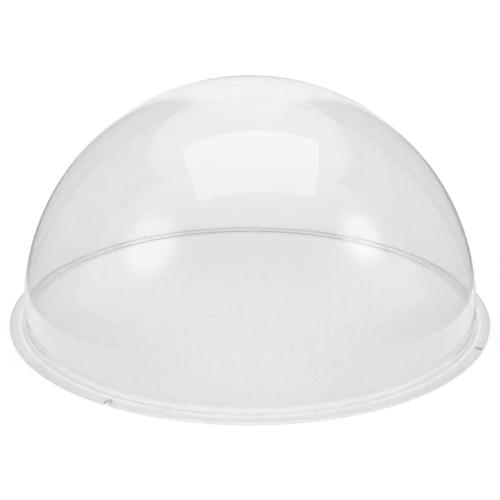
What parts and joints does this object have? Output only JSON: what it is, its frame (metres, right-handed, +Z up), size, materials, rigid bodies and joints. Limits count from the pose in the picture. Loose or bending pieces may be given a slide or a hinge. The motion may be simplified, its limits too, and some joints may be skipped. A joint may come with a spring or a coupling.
{
  "type": "flanged dome cover",
  "caption": "Clear one-piece hemispherical cover, open underneath, with a flat round flange and four edge notches for small screws.",
  "frame": {"origin": "centre of the flange's underside, on the dome's axis", "axes": "+Z up the dome's axis towards the crown; the four notches lie on +X, +Y, -X and -Y"},
  "size_m": [0.457, 0.457, 0.219],
  "materials": {
    "clear_acrylic": "polished"
  },
  "bodies": {
    "root": {"flanged_dome": "clear_acrylic"}
  },
  "joints": []
}
